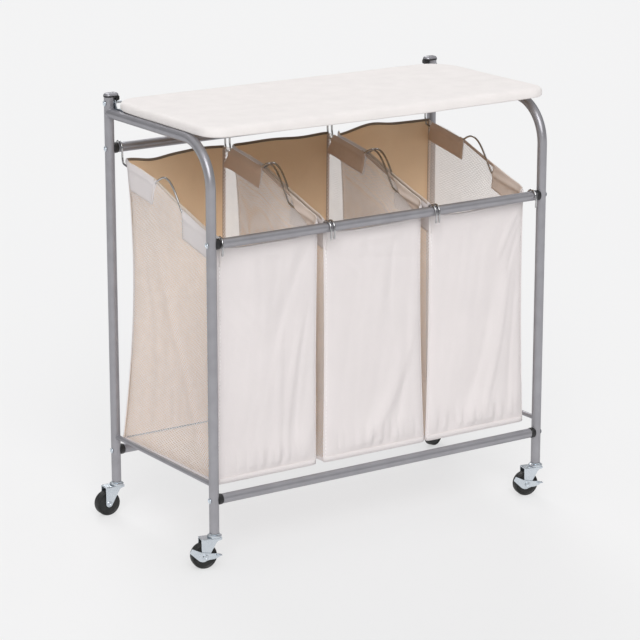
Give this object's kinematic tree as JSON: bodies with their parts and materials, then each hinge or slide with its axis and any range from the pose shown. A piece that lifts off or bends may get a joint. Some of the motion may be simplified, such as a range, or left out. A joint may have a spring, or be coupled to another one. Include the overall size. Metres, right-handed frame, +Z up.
{
  "type": "laundry cart",
  "caption": "Rolling laundry sorter: a tube frame on swivel casters, fabric bags hung by wire rods, and a padded ironing board hinged on top as its lid.",
  "frame": {"origin": "on the floor under the middle of the cart, half way between the four legs", "axes": "+X to the cart's right along its length, +Y from the low front rail to the high rear rail, +Z up"},
  "size_m": [0.8703, 0.4208, 0.8531],
  "materials": {
    "frame_paint": "satin silver-grey powder coat",
    "bright_zinc": "bright zinc plate",
    "rod_steel": "polished bright wire",
    "black_plastic": "moulded black plastic",
    "wheel_rubber": "solid dark wheel",
    "bag_canvas": "heavy plain-weave canvas with mesh sides",
    "board_cover": "padded cotton cover",
    "board_core": "plain board"
  },
  "bodies": {
    "frame": {"left_end_tube": "frame_paint", "left_rear_post": "frame_paint", "left_lower_bar": "frame_paint", "right_end_tube": "frame_paint", "right_rear_post": "frame_paint", "right_lower_bar": "frame_paint", "front_upper_rail": "frame_paint", "front_upper_left_ferrule": "black_plastic", "front_upper_right_ferrule": "black_plastic", "front_upper_left_bolt": "bright_zinc", "front_upper_right_bolt": "bright_zinc", "front_lower_rail": "frame_paint", "front_lower_left_ferrule": "black_plastic", "front_lower_right_ferrule": "black_plastic", "front_lower_left_bolt": "bright_zinc", "front_lower_right_bolt": "bright_zinc", "rear_upper_rail": "frame_paint", "rear_upper_left_ferrule": "black_plastic", "rear_upper_right_ferrule": "black_plastic", "rear_upper_left_bolt": "bright_zinc", "rear_upper_right_bolt": "bright_zinc", "rear_lower_rail": "frame_paint", "rear_lower_left_ferrule": "black_plastic", "rear_lower_right_ferrule": "black_plastic", "rear_lower_left_bolt": "bright_zinc", "rear_lower_right_bolt": "bright_zinc", "left_hinge_stop": "black_plastic", "left_post_cap": "frame_paint", "left_hinge_bolt": "bright_zinc", "right_hinge_stop": "black_plastic", "right_post_cap": "frame_paint", "right_hinge_bolt": "bright_zinc"},
    "board": {"board_pad": "board_cover", "board_panel": "board_core", "left_hinge_bracket": "bright_zinc", "right_hinge_bracket": "bright_zinc"},
    "left_bag": {"left_bag": "bag_canvas", "left_bag_left_rod": "rod_steel", "left_bag_right_rod": "rod_steel"},
    "middle_bag": {"middle_bag": "bag_canvas", "middle_bag_left_rod": "rod_steel", "middle_bag_right_rod": "rod_steel"},
    "right_bag": {"right_bag": "bag_canvas", "right_bag_left_rod": "rod_steel", "right_bag_right_rod": "rod_steel"},
    "front_left_caster": {"front_left_fork": "bright_zinc", "front_left_axle": "bright_zinc"},
    "front_left_wheel": {"front_left_wheel": "wheel_rubber"},
    "front_left_brake": {"front_left_brake_lever": "bright_zinc"},
    "front_right_caster": {"front_right_fork": "bright_zinc", "front_right_axle": "bright_zinc"},
    "front_right_wheel": {"front_right_wheel": "wheel_rubber"},
    "front_right_brake": {"front_right_brake_lever": "bright_zinc"},
    "rear_left_caster": {"rear_left_fork": "bright_zinc", "rear_left_axle": "bright_zinc"},
    "rear_left_wheel": {"rear_left_wheel": "wheel_rubber"},
    "rear_right_caster": {"rear_right_fork": "bright_zinc", "rear_right_axle": "bright_zinc"},
    "rear_right_wheel": {"rear_right_wheel": "wheel_rubber"}
  },
  "joints": [
    {"name": "board_hinge", "type": "hinge", "parent": "frame", "child": "board", "pos_m": [0, 0.186, 0.833], "axis": [-1, 0, 0], "range_deg": [0, 90]},
    {"name": "left_bag_lift", "type": "slide", "parent": "frame", "child": "left_bag", "axis": [0, 0, 1], "range_m": [0, 0.045]},
    {"name": "middle_bag_lift", "type": "slide", "parent": "frame", "child": "middle_bag", "axis": [0, 0, 1], "range_m": [0, 0.045]},
    {"name": "right_bag_lift", "type": "slide", "parent": "frame", "child": "right_bag", "axis": [0, 0, 1], "range_m": [0, 0.045]},
    {"name": "front_left_swivel", "type": "hinge", "parent": "frame", "child": "front_left_caster", "pos_m": [-0.385, -0.186, 0.08], "axis": [0, 0, 1], "continuous": true},
    {"name": "front_left_roll", "type": "hinge", "parent": "front_left_caster", "child": "front_left_wheel", "pos_m": [-0.40636, -0.18071, 0.025], "axis": [0.2402, 0.9707, 0], "continuous": true},
    {"name": "front_left_brake_press", "type": "hinge", "parent": "front_left_caster", "child": "front_left_brake", "pos_m": [-0.40636, -0.18071, 0.025], "axis": [0.2402, 0.9707, 0], "range_deg": [0, 18]},
    {"name": "front_right_swivel", "type": "hinge", "parent": "frame", "child": "front_right_caster", "pos_m": [0.385, -0.186, 0.08], "axis": [0, 0, 1], "continuous": true},
    {"name": "front_right_roll", "type": "hinge", "parent": "front_right_caster", "child": "front_right_wheel", "pos_m": [0.36364, -0.18071, 0.025], "axis": [0.2402, 0.9707, 0], "continuous": true},
    {"name": "front_right_brake_press", "type": "hinge", "parent": "front_right_caster", "child": "front_right_brake", "pos_m": [0.36364, -0.18071, 0.025], "axis": [0.2402, 0.9707, 0], "range_deg": [0, 18]},
    {"name": "rear_left_swivel", "type": "hinge", "parent": "frame", "child": "rear_left_caster", "pos_m": [-0.385, 0.186, 0.08], "axis": [0, 0, 1], "continuous": true},
    {"name": "rear_left_roll", "type": "hinge", "parent": "rear_left_caster", "child": "rear_left_wheel", "pos_m": [-0.40697, 0.18715, 0.025], "axis": [0.0523, 0.9986, 0], "continuous": true},
    {"name": "rear_right_swivel", "type": "hinge", "parent": "frame", "child": "rear_right_caster", "pos_m": [0.385, 0.186, 0.08], "axis": [0, 0, 1], "continuous": true},
    {"name": "rear_right_roll", "type": "hinge", "parent": "rear_right_caster", "child": "rear_right_wheel", "pos_m": [0.4054, 0.19424, 0.025], "axis": [0.3746, -0.9272, 0], "continuous": true}
  ]
}
